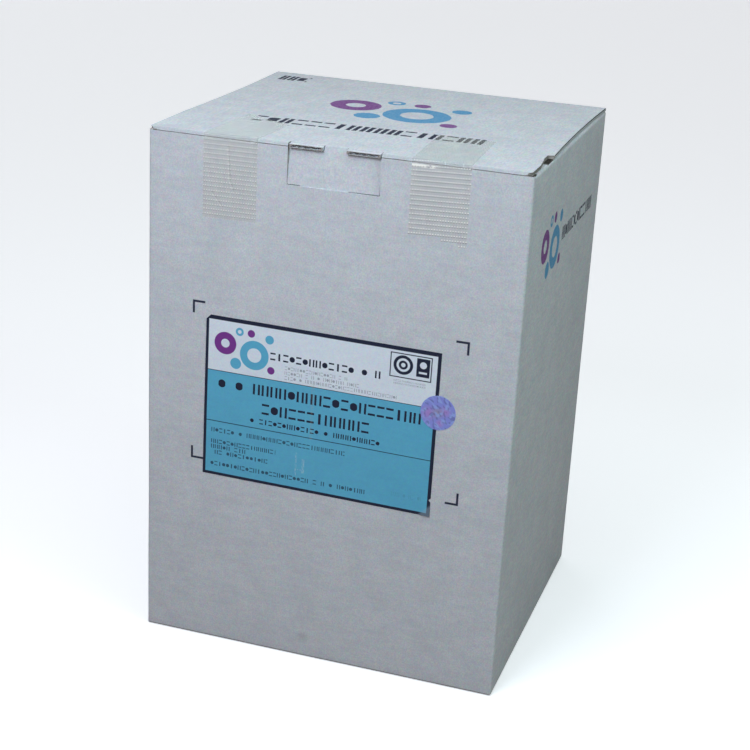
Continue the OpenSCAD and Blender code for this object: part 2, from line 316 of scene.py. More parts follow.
def printed_disc_group():
    """A printed disc, with a hole in it where the hole's radius isn't 0"""
    tree, w, given, out = new_group(
        "printed_disc", ("Across", "Up", "Middle X", "Middle Y", "Radius", "Hole", "Soft"), ("Ink",)
    )
    aside = w.math("SUBTRACT", given["Across"], given["Middle X"])
    above = w.math("SUBTRACT", given["Up"], given["Middle Y"])
    away = w.away(aside, above)
    past_rim = w.edge(away, given["Radius"], given["Soft"])
    past_hole = w.edge(away, given["Hole"], given["Soft"])
    w.feed(out["Ink"], w.times(w.math("SUBTRACT", 1.0, past_rim), past_hole))
    return tree


# A printed mark's size: its half width as a share of the pitch, a disc's radius as a share of the row's half
# height, and half of a lone bar as a share of the stroke
MARK_HALF = 0.4
MARK_DISC = 0.74
LONE_BAR_HALF = 0.6

# The chances from which a cell shows two upright bars, two level bars, a disc and a lone bar, or else a gap
MARK_CHANCES = (0.10, 0.42, 0.62, 0.84, 1.01)


def printed_blocks_group():
    """A row of plain marks in equal cells, each of a kind that chance gives it, with gaps between them"""
    tree, w, given, out = new_group(
        "printed_blocks",
        ("Across", "Up", "Left", "Right", "Low", "High", "Pitch", "Stroke", "Seed"),
        ("Ink",),
    )

    def within(value, low, high):
        return w.times(w.math("GREATER_THAN", value, low), w.math("LESS_THAN", value, high))
    pitch, stroke = given["Pitch"], given["Stroke"]
    count = w.math("DIVIDE", w.math("SUBTRACT", given["Across"], given["Left"]), pitch)
    chance = w.put("ShaderNodeTexWhiteNoise", noise_dimensions="1D")
    w.feed(chance.inputs["W"], w.math("ADD", w.math("FLOOR", count), given["Seed"]))
    half_width = w.times(pitch, MARK_HALF)
    half_height = w.times(w.math("SUBTRACT", given["High"], given["Low"]), 0.5)
    aside = w.times(w.math("SUBTRACT", w.math("FRACT", count), 0.5), pitch)
    above = w.math("SUBTRACT", w.math("SUBTRACT", given["Up"], given["Low"]), half_height)
    away = w.away(aside, above)
    aside, above = w.math("ABSOLUTE", aside), w.math("ABSOLUTE", above)
    in_cell = w.times(w.math("LESS_THAN", aside, half_width), w.math("LESS_THAN", above, half_height))
    shapes = (
        w.math("GREATER_THAN", aside, w.math("SUBTRACT", half_width, stroke)),
        w.math("GREATER_THAN", above, w.math("SUBTRACT", half_height, stroke)),
        w.math("LESS_THAN", away, w.times(half_height, MARK_DISC)),
        w.math("LESS_THAN", aside, w.times(stroke, LONE_BAR_HALF)),
    )
    mark = w.most([
        w.times(within(chance.outputs["Value"], low, high), shape)
        for low, high, shape in zip(MARK_CHANCES, MARK_CHANCES[1:], shapes)
    ])
    in_row = within(given["Across"], given["Left"], given["Right"])
    w.feed(out["Ink"], w.times(w.times(in_cell, in_row), mark))
    return tree


FIBRES = paper_fibres_group()
BAR = printed_bar_group()
DISC = printed_disc_group()
BLOCKS = printed_blocks_group()


def new_material(name):
    """A material with an empty Principled shader, its wiring and the shader's inputs"""
    material = bpy.data.materials.new(name)
    material.use_nodes = True
    material.node_tree.nodes.clear()
    w = Wiring(material.node_tree)
    shader = w.put("ShaderNodeBsdfPrincipled")
    w.tree.links.new(shader.outputs[0], w.put("ShaderNodeOutputMaterial").inputs["Surface"])
    return material, w, shader.inputs


# A bubble is its middle across and up, its radius and its hole's radius, all as shares of the emblem's width
PURPLE_BUBBLES = ((0.18, 0.40, 0.18, 0.07), (0.60, 0.62, 0.06, 0.0), (0.94, 0.08, 0.06, 0.0))
CYAN_BUBBLES = (
    (0.66, 0.28, 0.235, 0.115),
    (0.36, 0.10, 0.09, 0.0),
    (0.41, 0.62, 0.065, 0.03),
    (0.90, 0.57, 0.07, 0.0),
)


def bar(w, across, up, left, right, low, high, soft):
    return w.group(BAR, across=across, up=up, left=left, right=right,
                   low=low, high=high, soft=soft)["Ink"]


def disc(w, across, up, x, y, radius, hole, soft):
    return w.group(DISC, across=across, up=up, middle_x=x, middle_y=y,
                   radius=radius, hole=hole, soft=soft)["Ink"]


def blocks(w, across, up, left, right, low, height, pitch, stroke, seed):
    return w.group(BLOCKS, across=across, up=up, left=left, right=right, low=low, high=low + height,
                   pitch=pitch, stroke=stroke, seed=seed)["Ink"]


def smudge(w, across, up, x, y, reach):
    """A soft round patch that fades out towards its reach"""
    return disc(w, across, up, x, y, reach / 2, -reach, reach / 2)


def bubbles(w, across, up, left, low, width, soft):
    """The purple and the cyan masks of an emblem of plain soap bubbles"""
    def inked(group):
        return w.most([
            disc(w, across, up, left + x * width, low + y * width, radius * width, hole * width, soft)
            for x, y, radius, hole in group
        ])
    return inked(PURPLE_BUBBLES), inked(CYAN_BUBBLES)


# The printed corner marks round the label: middle height, half width, half height, stroke and arm
MARKS_Z = 248.7 * MM
MARKS_HALF_WIDTH = 122.9 * MM
MARKS_HALF_HEIGHT = 73.4 * MM
MARK_STROKE = 2 * MM
MARK_ARM = 11.6 * MM
BOARD_SOFT = 0.25 * MM

# The emblems on the board: left, low and width
TOP_EMBLEM = (-66 * MM, -24 * MM, 130 * MM)
SIDE_EMBLEM = (-98 * MM, 360 * MM, 80 * MM)

# The rows of plain marks on the board: left, right, low, height, pitch, stroke and seed
TOP_ROW = (-102 * MM, 103 * MM, -76 * MM, 20 * MM, 12 * MM, 3.9 * MM, 31.0)
TOP_ROW_SLOPE = 0.05
SIDE_ROW = (-17 * MM, 113 * MM, 380.5 * MM, 12 * MM, 7.2 * MM, 2.2 * MM, 23.0)
CORNER_ROW = (-151 * MM, -121 * MM, 107 * MM, 21 * MM, 9 * MM, 3.2 * MM, 11.0)

# How far the ink covers the board, between its fibres and on them, and how far the print's edges stray
COLOUR_COVER = (0.98, 0.84)
NAVY_COVER = (1.0, 0.95)
STRAY = 0.8 * MM
STRAY_SCALE = 330.0

# Wear on the board: smudges and scuffs by their middle and reach, and a curved scratch, as the part of a thin
# ring that a soft window shows
DARK_SMUDGE = (-11 * MM, 20 * MM, 9 * MM)
PALE_SCUFFS = (
    (91 * MM, 134 * MM, 3 * MM),
    (129 * MM, 131 * MM, 4 * MM),
    (125 * MM, 85 * MM, 2.5 * MM),
)
SCRATCH_RING = (-54 * MM, 263 * MM, 60.5 * MM, 59.7 * MM)
SCRATCH_WINDOW = (-24 * MM, 5 * MM, 275 * MM, 316 * MM)
SCRATCH_SOFT = 3 * MM
SCRATCH_STRENGTH = 0.6

# A face looks along an axis where that part of its direction is more than this
ALONG = 0.7


def front_print(w, x, z):
    """The four corner marks round the label"""
    across = w.math("ABSOLUTE", x)
    up = w.math("ABSOLUTE", w.math("SUBTRACT", z, MARKS_Z))
    level = bar(w, across, up, MARKS_HALF_WIDTH - MARK_ARM, MARKS_HALF_WIDTH,
                MARKS_HALF_HEIGHT - MARK_STROKE, MARKS_HALF_HEIGHT, BOARD_SOFT)
    upright = bar(w, across, up, MARKS_HALF_WIDTH - MARK_STROKE, MARKS_HALF_WIDTH,
                  MARKS_HALF_HEIGHT - MARK_ARM, MARKS_HALF_HEIGHT, BOARD_SOFT)
    return w.math("MAXIMUM", level, upright)


def board_print(w, tone, fibres, on_front, on_right, on_top):
    """The board's tone with the emblems, the rows and the corner marks printed on it"""
    place = w.place()
    sharp = w.split(place)
    stray = w.vector_math("MULTIPLY_ADD", w.tints(place, STRAY_SCALE), (2 * STRAY,) * 3, (-STRAY,) * 3)
    x, y, z = w.split(w.vector_math("ADD", place, stray))
    top_purple, top_cyan = bubbles(w, x, y, *TOP_EMBLEM, BOARD_SOFT)
    side_purple, side_cyan = bubbles(w, y, z, *SIDE_EMBLEM, BOARD_SOFT)
    turned = w.math("SUBTRACT", y, w.times(x, TOP_ROW_SLOPE))
    top_rows = w.math("MAXIMUM", blocks(w, x, turned, *TOP_ROW), blocks(w, x, y, *CORNER_ROW))
    purple = w.math("ADD", w.times(on_top, top_purple), w.times(on_right, side_purple))
    cyan = w.math("ADD", w.times(on_top, top_cyan), w.times(on_right, side_cyan))
    navy = w.most([
        w.times(on_front, front_print(w, sharp[0], sharp[2])),
        w.times(on_top, top_rows),
        w.times(on_right, blocks(w, y, z, *SIDE_ROW)),
    ])
    cover = w.between(fibres["Fleck"], *COLOUR_COVER)
    tone = w.laid_over(tone, cyan, cover, BOARD_CYAN)
    tone = w.laid_over(tone, purple, cover, BOARD_PURPLE)
    return w.laid_over(tone, navy, w.between(fibres["Fleck"], *NAVY_COVER), NAVY)


def board_wear(w, tone, on_front, on_right):
    """The board's tone with a few dark smudges, pale scuffs and a scratch"""
    x, y, z = w.split(w.place())
    dark = w.times(on_front, smudge(w, x, z, *DARK_SMUDGE))
    pale = w.times(on_front, w.most([smudge(w, x, z, *scuff) for scuff in PALE_SCUFFS]))
    ring = disc(w, y, z, *SCRATCH_RING, BOARD_SOFT)
    window = bar(w, y, z, *SCRATCH_WINDOW, SCRATCH_SOFT)
    scratch = w.times(w.times(w.times(ring, window), on_right), SCRATCH_STRENGTH)
    tone = w.laid_over(tone, w.math("MAXIMUM", dark, scratch), 0.22, SMUDGE_TONE)
    return w.laid_over(tone, pale, 0.3, SCUFF_TONE)


def liner_tone(w, fibres):
    """The mottled tone of the plain board"""
    tone = w.blend(fibres["Cloud"], linear(LINER_LOW), linear(LINER_HIGH))
    tone = w.laid_over(tone, fibres["Fleck"], 0.42, LINER_FLECK)
    return w.tinted(tone, fibres["Tint"], (0.68, 0.57, 0.36))


def liner_material():
    """White liner of the board, mottled by its fibres, with painted shade on its folds, faint ribs, print and
    wear
    """
    material, w, shader = new_material("white_liner")
    fibres = w.group(FIBRES, vector=w.place())
    x, y, z = w.split(w.place())
    facing = w.facing()
    on_front = w.math("LESS_THAN", facing[1], -ALONG)
    on_right = w.math("GREATER_THAN", facing[0], ALONG)
    outside = w.math("GREATER_THAN", z, TOP - 1 * MM)
    on_top = w.times(w.math("GREATER_THAN", facing[2], ALONG), outside)

    # Painted shade on the folds that turn from the top down to the front
    turning = w.math("MINIMUM", w.math("ABSOLUTE", facing[1]), w.math("ABSOLUTE", facing[2]))
    fold_shade = w.times(w.step(turning, 0.12, 0.5), w.math("LESS_THAN", facing[1], 0.0))
    tone = w.laid_over(liner_tone(w, fibres), fold_shade, 0.36, FOLD_SHADE_TONE)
    tone = board_print(w, tone, fibres, on_front, on_right, on_top)
    w.feed(shader["Base Color"], board_wear(w, tone, on_front, on_right))
    shader["Roughness"].default_value = 0.72
    shader["Specular IOR Level"].default_value = 0.3

    fine = w.bump(fibres["Relief"], 0.35, 0.12 * MM)
    side = w.math("ABSOLUTE", facing[0])
    across = w.math("ADD", w.times(side, y), w.times(w.math("SUBTRACT", 1.0, side), x))
    ribs = w.math("SINE", w.times(across, 2 * math.pi / FLUTE_PITCH))
    w.feed(shader["Normal"], w.bump(ribs, 0.5, 0.01 * MM, fine))
    return material


# The painted line of shade over a pale line painted as a highlight, along the lid's right edge: how far below
# the lid's face the one gives way to the other, how far behind the notch they start, and how strong they are
EDGE_TURN = (1.6 * MM, 2.1 * MM)
EDGE_START = (2 * MM, 6 * MM)
EDGE_STRENGTH = 0.85


def kraft_material():
    """The board's brown-grey core, where it is cut, with painted shade over a painted highlight along the
    lid's right edge
    """
    material, w, shader = new_material("kraft_core")
    grain = w.noise(w.place(), 700.0, 3.0, 0.6)
    tone = w.blend(grain, linear(CORE_DARK), linear(CORE))
    _, y, z = w.split(w.place())
    behind_notch = w.step(y, *(FRONT + NOTCH_END + start for start in EDGE_START))
    on_edge = w.times(w.math("GREATER_THAN", w.facing()[0], 0.9), behind_notch)
    # The cut core painted dark as the shade in the gap under the lid, over a pale line of liner tone painted
    # as the highlight beneath
    shade_over_highlight = w.blend(w.step(z, *(TOP - turn for turn in EDGE_TURN)), linear(EDGE_SHADE_TONE), linear(EDGE_HIGHLIGHT_TONE))
    tone = w.blend(w.times(on_edge, EDGE_STRENGTH), tone, shade_over_highlight)
    w.feed(shader["Base Color"], tone)
    shader["Roughness"].default_value = 0.9
    shader["Specular IOR Level"].default_value = 0.2
    w.feed(shader["Normal"], w.bump(grain, 0.5, 0.2 * MM))
    return material


# The label's print, in millimetres from its middle: its border's top, sides and bottom, two dividers and the
# emblem's left, low and width
LABEL_SOFT = 0.18
BORDER_TOP = 3.5
BORDER_LEFT = 2.6
BORDER_RIGHT = 3.0
BORDER_LOW = 2.6
HEADER_LOW = 24.5
HEADER_DIVIDER = (HEADER_LOW - 0.4, HEADER_LOW + 0.2)
LOWER_DIVIDER = (-23.15, -22.45)
LABEL_EMBLEM = (-97.0, 28.0, 56.0)

# Rows of plain marks: left, right, low, height, pitch, stroke, seed
DARK_ROWS = (
    (-46.0, 54.0, 42.4, 6.6, 5.88, 1.4, 5.0),
    (-93.0, 92.0, 8.2, 9.7, 8.04, 1.9, 17.0),
    (-52.0, 47.0, -8.7, 9.7, 8.25, 1.9, 31.0),
    (-62.0, 57.0, -18.3, 4.6, 4.25, 1.0, 3.0),
)
FINE_ROWS = (
    (-98.0, 26.0, -33.3, 4.1, 3.7, 0.85, 12.0),
    (-98.0, -37.0, -44.0, 3.9, 3.7, 0.85, 27.0),
    (-98.0, -65.0, -49.0, 3.9, 3.7, 0.85, 51.0),
    (-98.0, -44.0, -54.2, 3.9, 3.7, 0.85, 66.0),
    (-98.0, 49.0, -65.2, 4.1, 3.7, 0.85, 72.0),
)
GREY_ROWS = (
    (-32.0, 25.0, 35.6, 3.1, 2.7, 0.5, 80.0),
    (-32.0, 35.0, 31.2, 3.1, 2.7, 0.5, 91.0),
    (-32.0, 69.0, 26.8, 3.1, 2.7, 0.5, 14.0),
    (65.0, 93.0, 43.1, 1.6, 1.7, 0.35, 33.0),
    (65.0, 93.0, 40.6, 1.6, 1.7, 0.35, 38.0),
)
STAMPED_ROWS = ((67.0, 97.0, -61.5, 4.0, 2.6, 0.5, 60.0),)

# How strongly each of these kinds of rows is printed
ROWS_BY_STRENGTH = ((DARK_ROWS, 1.0), (FINE_ROWS, 0.8), (GREY_ROWS, 0.5), (STAMPED_ROWS, 0.16))

# The framed panel at the top right: its middle, half width and height, and line; a ring and a hub by middle,
# radius and hole; a plate by left, right, low and high, with a pale dot and a pale bar in it
PANEL_MIDDLE = (79.3, 57.6)
PANEL_HALF = (18.2, 10.9)
PANEL_LINE = 0.9
RING = (72.6, 58.2, 8.5, 5.9)
HUB = (72.6, 58.2, 3.9, 1.9)
PLATE = (84.2, 95.6, 50.2, 66.4)
PLATE_DOT = (89.9, 60.6, 3.0, -1.0)
PLATE_BAR = (86.4, 93.4, 53.0, 54.8)

# Wear on the label: pale scrapes and a brownish rub by left, right, low, high and softness, and the shape of
# the patches that break them up
SCRAPES = (
    (-18.6, -17.2, -60.0, -38.5, 0.5),
    (-12.4, -10.0, -57.0, -43.5, 0.6),
    (-18.4, -9.6, -54.6, -53.6, 0.5),
)
RUB = (-6.6, -4.4, -24.0, 27.0, 0.8)
BREAK_STRETCH = (1.3, 0.28, 1.0)


def label_panel(w, u, v):
    """The framed panel with a ring, a hub and a dark plate that holds a pale dot and bar"""
    across = w.math("ABSOLUTE", w.math("SUBTRACT", u, PANEL_MIDDLE[0]))
    up = w.math("ABSOLUTE", w.math("SUBTRACT", v, PANEL_MIDDLE[1]))

    def frame_of(inset):
        width, height = PANEL_HALF[0] - inset, PANEL_HALF[1] - inset
        return bar(w, across, up, -1.0, width, -1.0, height, LABEL_SOFT)
    pale = w.math("MAXIMUM", disc(w, u, v, *PLATE_DOT, LABEL_SOFT), bar(w, u, v, *PLATE_BAR, LABEL_SOFT))
    return w.most([
        w.math("SUBTRACT", frame_of(0.0), frame_of(PANEL_LINE)),
        disc(w, u, v, *RING, LABEL_SOFT),
        disc(w, u, v, *HUB, LABEL_SOFT),
        w.times(bar(w, u, v, *PLATE, LABEL_SOFT), w.math("SUBTRACT", 1.0, pale)),
    ])


def label_print(w, tone, u, v):
    """The label's tone with its emblem, panel, rows and dividers"""
    half_width = LABEL_WIDTH / MM / 2
    purple, cyan = bubbles(w, u, v, *LABEL_EMBLEM, LABEL_SOFT)
    tone = w.blend(cyan, tone, linear(LABEL_CYAN))
    tone = w.blend(purple, tone, linear(LABEL_PURPLE))
    dividers = [bar(w, u, v, -half_width, half_width, *HEADER_DIVIDER, LABEL_SOFT),
                bar(w, u, v, -half_width, half_width, *LOWER_DIVIDER, LABEL_SOFT)]
    tone = w.blend(w.most([label_panel(w, u, v), *dividers]), tone, linear(NAVY))
    for rows, strength in ROWS_BY_STRENGTH:
        ink = w.most([blocks(w, u, v, *row) for row in rows])
        tone = w.laid_over(tone, ink, strength, NAVY)
    return tone


def label_wear(w, tone, sheet, u, v):
    """The label's tone with pale scrapes and a brownish rub"""
    broken = w.step(w.noise(w.stretched(sheet, BREAK_STRETCH), 1.0, 3.0), 0.42, 0.62)
    scrapes = w.times(broken, w.most([bar(w, u, v, *scrape) for scrape in SCRAPES]))
    tone = w.laid_over(tone, scrapes, 0.5, SCRAPE_TONE)
    return w.laid_over(tone, w.times(broken, bar(w, u, v, *RUB)), 0.3, RUB_TONE)


def label_material():
    """Satin paper: a white header over a blue field in a navy border, with plain marks for print"""
    material, w, shader = new_material("label_paper")
    sheet = w.sheet_place()
    u, v, _ = w.split(sheet)
    fibres = w.group(FIBRES, vector=w.place())
    half_width, half_height = LABEL_WIDTH / MM / 2, LABEL_HEIGHT / MM / 2
    blue = w.blend(fibres["Cloud"], linear(LABEL_BLUE_LOW), linear(LABEL_BLUE))
    white = w.blend(fibres["Cloud"], linear(LABEL_WHITE_LOW), linear(LABEL_WHITE))
    tone = w.blend(w.step(v, HEADER_LOW - LABEL_SOFT, HEADER_LOW + LABEL_SOFT), blue, white)
    tone = label_wear(w, label_print(w, tone, u, v), sheet, u, v)
    inside = bar(w, u, v, BORDER_LEFT - half_width, half_width - BORDER_RIGHT,
                 BORDER_LOW - half_height, half_height - BORDER_TOP, LABEL_SOFT)
    tone = w.blend(w.math("SUBTRACT", 1.0, inside), tone, linear(NAVY))
    # Painted light and shade on the lifted corner, which turns its print greyish blue
    crease = half_width + half_height - LABEL_FOLD / MM
    lifted_corner_light = w.step(w.math("SUBTRACT", u, v), crease - 1.2, crease + 3.0)
    tone = w.laid_over(tone, lifted_corner_light, 0.42, LIFTED_CORNER_LIGHTING)
    w.feed(shader["Base Color"], w.tinted(tone, fibres["Tint"], (0.4, 0.36, 0.24)))
    shader["Roughness"].default_value = 0.5
    shader["Specular IOR Level"].default_value = 0.4
    w.feed(shader["Normal"], w.bump(fibres["Relief"], 0.2, 0.06 * MM))
    return material


# The seal's soft patches, in millimetres from its middle: across, up and reach
PINK_PATCHES = ((-8.0, -1.0, 9.0), (6.0, 2.0, 7.0), (2.0, -9.0, 5.0))
GREY_PATCH = (-0.5, 0.0, 7.0)

# The seal's painted glints and streaks of painted shade: their turn in degrees, their repeats in a
# millimetre, and where they start and end
GLINTS = ((45, 0.3, 0.52, 0.7), (-45, 0.27, 0.55, 0.72))
SHADE_STREAKS = (50, 0.42, 0.46, 0.34)
STREAK_LENGTHENING = (0.55, 1.0, 1.0)


def foil_material():
    """Pale violet-blue foil with pink patches, a greyer middle, slanting painted glints and streaks of
    painted shade
    """
    material, w, shader = new_material("foil")
    sheet = w.sheet_place()
    u, v, _ = w.split(sheet)

    def streaks(turn, scale, start, end):
        turned = w.stretched(sheet, (1.0, 1.0, 1.0), rotation=(0.0, 0.0, math.radians(turn)))
        return w.step(w.noise(w.stretched(turned, STREAK_LENGTHENING), scale, 0.0), start, end)
    pink = w.most([smudge(w, u, v, *patch) for patch in PINK_PATCHES])
    glints = w.most([streaks(*glint) for glint in GLINTS])
    tone = w.blend(pink, linear(FOIL), linear(FOIL_PINK))
    tone = w.blend(smudge(w, u, v, *GREY_PATCH), tone, linear(FOIL_GREY))
    # Painted glints and painted shade in the foil's colour
    tone = w.laid_over(tone, glints, 0.8, FOIL_GLINT)
    tone = w.laid_over(tone, streaks(*SHADE_STREAKS), 0.5, FOIL_SHADE)
    w.feed(shader["Base Color"], tone)
    shader["Metallic"].default_value = 0.25
    shader["Roughness"].default_value = 0.35
    w.feed(shader["Normal"], w.bump(glints, 0.3, 0.05 * MM))
    return material


# Length of the lid's front fold, as a tape over it goes round it
ARC = FOLD * math.pi / 2

# The weave of a tape: the distances of its rows and of its dashes in millimetres, where a thread and its
# shade lie in a row, how soft they are, and where a dash starts and ends
ROW_PITCH = 3.97
DASH_PITCH = 2.23
THREAD_SPAN = (0.45, 0.68)
SHADE_SPAN = (0.2, 0.38)
SPAN_SOFT = 0.05
DASH_START = (0.0, 0.1)
DASH_END = (0.45, 0.55)

# How opaque a tape is over the lid: its film, a thread and a thread's shade
FILM_ALPHA = 0.33
THREAD_ALPHA = 0.95
SHADE_ALPHA = 0.62

# The share of the weave's strength that shows over the lid, how the strength varies, and how much of it a
# thread's shade has between two dashes and under one
WEAVE_ON_LID = 0.1
WEAVE_VARIES = (0.6, 1.25)
SHADE_OF_DASH = (0.1, 0.6)

# A crease's painted highlight and painted shade, each by how far it lies aside and its width, and how strong
# each of them is between the rows and on them
CREASE_HIGHLIGHT_LINE = (-0.5, 1.0)
CREASE_SHADE_LINE = (0.6, 1.2)
CREASE_HIGHLIGHT_STRENGTH = (0.1, 0.7)
CREASE_SHADE_STRENGTH = (0.14, 0.5)


def weave(w, u, v, slope):
    """The rows of a tape's threads, the rows of their shades, and the dashes along a row"""
    row = w.math("DIVIDE", w.math("SUBTRACT", v, w.times(u, slope)), ROW_PITCH)
    phase = w.math("FRACT", row)
    stagger = w.times(w.math("FLOOR", row), 0.5)
    place = w.math("FRACT", w.math("ADD", w.math("DIVIDE", u, DASH_PITCH), stagger))
    dashes = w.math("SUBTRACT", w.step(place, *DASH_START), w.step(place, *DASH_END))

    def span(start, end):
        rise = w.step(phase, start - SPAN_SOFT, start + SPAN_SOFT)
        return w.math("SUBTRACT", rise, w.step(phase, end - SPAN_SOFT, end + SPAN_SOFT))
    return span(*THREAD_SPAN), span(*SHADE_SPAN), dashes


def film_tone(w, sheet, film, on_lid, backed):
    """A tape's film with its fine lines, painted shade over the fold, and the board's tone where it is backed
    """
    u, v, _ = w.split(sheet)
    tone = w.blend(on_lid, linear(film), linear(FILM_ON_LID))
    lines = w.noise(w.stretched(sheet, (1.0, 0.03, 1.0)), 1.0, 2.0)
    tone = w.laid_over(tone, w.step(lines, 0.35, 0.65), 0.25, THREAD_SHADOW_AND_LINES)
    # Painted shade over the lid's front fold
    bend_shade = bar(w, u, v, -40.0, 40.0, -ARC / MM, 0.0, 0.5)
    tone = w.laid_over(tone, bend_shade, 0.4, FOLD_SHADE_TONE)
    board = liner_tone(w, w.group(FIBRES, vector=w.place()))
    return w.blend(w.times(backed, 1.0 - FILM_ALPHA), tone, board)


def crease_mask(w, u, v, start, end, aside, width):
    """A line from start to end on the tape, moved aside by a little, as a soft mask"""
    run = Vector(end) - Vector(start)
    length = run.length
    run.normalize()

    def along(direction):
        across_part = w.times(w.math("SUBTRACT", u, start[0]), direction[0])
        up_part = w.times(w.math("SUBTRACT", v, start[1]), direction[1])
        return w.math("ADD", across_part, up_part)
    beside = along((-run[1], run[0]))
    return bar(w, along(run), beside, 0.0, length, aside - width / 2, aside + width / 2, 0.4)


def tape_material(name, film, slope, contrast, creases, glare):
    """
    Clear film over woven threads, each drawn with a painted highlight and a painted shadow beneath, with the
    painted highlight and shade of creases, and painted white glare on its first row. Down the front, on plain
    board, it shows the board's tone itself, so that the fine weave stays crisp.
    """
    material, w, shader = new_material(name)
    sheet = w.sheet_place()
    u, v, _ = w.split(sheet)
    thread_rows, shade_rows, dashes = weave(w, u, v, slope)
    fading = w.between(w.step(v, -ARC / MM, 0.5), contrast, WEAVE_ON_LID * contrast)
    uneven = w.remap(w.noise(sheet, 0.5, 2.0), 0.3, 0.7, *WEAVE_VARIES)
    strength = w.times(fading, uneven)
    # Each thread's bright dash carries its painted highlight, and the row beneath it painted shadow
    threads_and_highlights = w.times(w.times(thread_rows, dashes), strength)
    shadow = w.times(w.times(shade_rows, w.between(dashes, *SHADE_OF_DASH)), strength)
    if creases:
        # A crease's painted highlight beside its painted shade
        crease_highlight = w.most([crease_mask(w, u, v, *crease, *CREASE_HIGHLIGHT_LINE) for crease in creases])
        dark = w.most([crease_mask(w, u, v, *crease, *CREASE_SHADE_LINE) for crease in creases])
        crease_highlight = w.times(crease_highlight, w.between(thread_rows, *CREASE_HIGHLIGHT_STRENGTH))
        dark = w.times(dark, w.between(shade_rows, *CREASE_SHADE_STRENGTH))
        threads_and_highlights, shadow = w.math("MAXIMUM", threads_and_highlights, crease_highlight), w.math("MAXIMUM", shadow, dark)
    # Painted white glare on the first row
    if glare:
        broken = w.step(w.noise(w.stretched(sheet, (0.3, 0.6, 1.0)), 0.6, 2.0), 0.42, 0.52)
        threads_and_highlights = w.math("MAXIMUM", threads_and_highlights, w.times(broken, bar(w, u, v, *glare, 0.5)))

    on_lid = w.step(v, -ARC / MM, 0.0)
    backed = w.step(v, -ARC / MM - 1.0, -ARC / MM - 2.0)
    tone = film_tone(w, sheet, film, on_lid, backed)
    tone = w.blend(threads_and_highlights, tone, linear(THREAD_AND_HIGHLIGHT))
    tone = w.blend(shadow, tone, linear(THREAD_SHADOW_AND_LINES))
    w.feed(shader["Base Color"], tone)
    cover = w.most([
        backed,
        w.between(threads_and_highlights, FILM_ALPHA, THREAD_ALPHA),
        w.between(shadow, FILM_ALPHA, SHADE_ALPHA),
    ])
    lit = w.math("SUBTRACT", 1.0, w.put("ShaderNodeLightPath").outputs["Is Shadow Ray"])
    w.feed(shader["Alpha"], w.times(cover, lit))
    shader["Roughness"].default_value = 0.42
    shader["Specular IOR Level"].default_value = 0.35
    w.feed(shader["Normal"], w.bump(w.math("SUBTRACT", threads_and_highlights, shadow), 0.5, 0.02 * MM))
    return material


def clear_material():
    """The underside of a tape, which adds nothing to what its upper side shows"""
    material, _, shader = new_material("clear_film")
    shader["Alpha"].default_value = 0.0
    shader["Base Color"].default_value = linear(CLEAR_FILM)
    return material


FLOOR_GLOW = 0.42


def floor_material():
    """A pale floor, which bounces less light than it shows"""
    material, w, shader = new_material("floor")
    seen = w.put("ShaderNodeLightPath").outputs["Is Camera Ray"]
    w.feed(shader["Base Color"], w.blend(seen, linear(FLOOR_BOUNCE), linear(FLOOR)))
    shader["Roughness"].default_value = 0.8
    shader["Emission Color"].default_value = linear(FLOOR)
    w.feed(shader["Emission Strength"], w.times(seen, FLOOR_GLOW))
    return material


# How far a panel sinks in at most, how far from its edges that begins, and how wide the uneven places are
PANEL_SAG = 0.7 * MM
LID_SAG = 0.5 * MM
SAG_REACH = 60 * MM
WIDE_WAVE = 130 * MM
CLOSE_WAVE = 45 * MM


def unevenness(point):
    """Where a point of the ideal carton lies on the real one, whose panels sink in a little"""
    x, y, z = point

    def sunk(seed, depth):
        wide = noise.noise(Vector((x, y, z)) / WIDE_WAVE + Vector((seed, 0, 0)))
        close = noise.noise(Vector((x, y, z)) / CLOSE_WAVE + Vector((0, seed, 0)))
        return depth * (0.5 + 0.5 * max(-1.0, min(1.0, 1.1 * wide + 0.35 * close)))
    side = math.copysign(1, x) * smooth(RIGHT - SAG_REACH, RIGHT, abs(x)) * sunk(3.1, PANEL_SAG)
    deep = math.copysign(1, y) * smooth(BACK - SAG_REACH, BACK, abs(y)) * sunk(7.7, PANEL_SAG)
    down = smooth(TOP - SAG_REACH, TOP, z) * sunk(11.3, LID_SAG)
    return Vector((x - side, y - deep, z - down))


def pick(piece):
    """Selects one piece and nothing else, and makes it the active one"""
    bpy.ops.object.select_all(action="DESELECT")
    bpy.context.view_layer.objects.active = piece
    piece.select_set(True)


def edit(piece):
    """Opens a piece in edit mode with all of it selected"""
    pick(piece)
    bpy.ops.object.mode_set(mode="EDIT")
    bpy.ops.mesh.select_all(action="SELECT")


def close_edit():
    bpy.ops.object.mode_set(mode="OBJECT")


def cut(at, facing, **settings):
    """Cuts all of the open piece by a plane"""
    bpy.ops.mesh.select_all(action="SELECT")
    bpy.ops.mesh.bisect(plane_co=at, plane_no=facing, **settings)


def cut_across(axis, low, high, spacing):
    """Cuts all of the open piece by a row of planes across one axis"""
    count = math.floor((high - low) / spacing)
    first = (low + high - count * spacing) / 2
    for i in range(count + 1):
        at, facing = [0, 0, 0], [0, 0, 0]
        at[axis], facing[axis] = first + i * spacing, 1
        cut(at, facing)


def move_points(piece, where):
    """Moves each point of a mesh to where a function puts it"""
    for vertex in piece.data.vertices:
        vertex.co = where(vertex.co)
    piece.data.update()


def flat_stock(name, width, length, columns, rows):
    """A flat grid in the XY plane, from which a sheet is made"""
    bpy.ops.object.select_all(action="DESELECT")
    bpy.ops.mesh.primitive_grid_add(x_subdivisions=columns, y_subdivisions=rows, size=1)
    piece = bpy.context.active_object
    piece.name = piece.data.name = name
    edit(piece)
    bpy.ops.transform.resize(value=(width, length, 1))
    close_edit()
    return piece


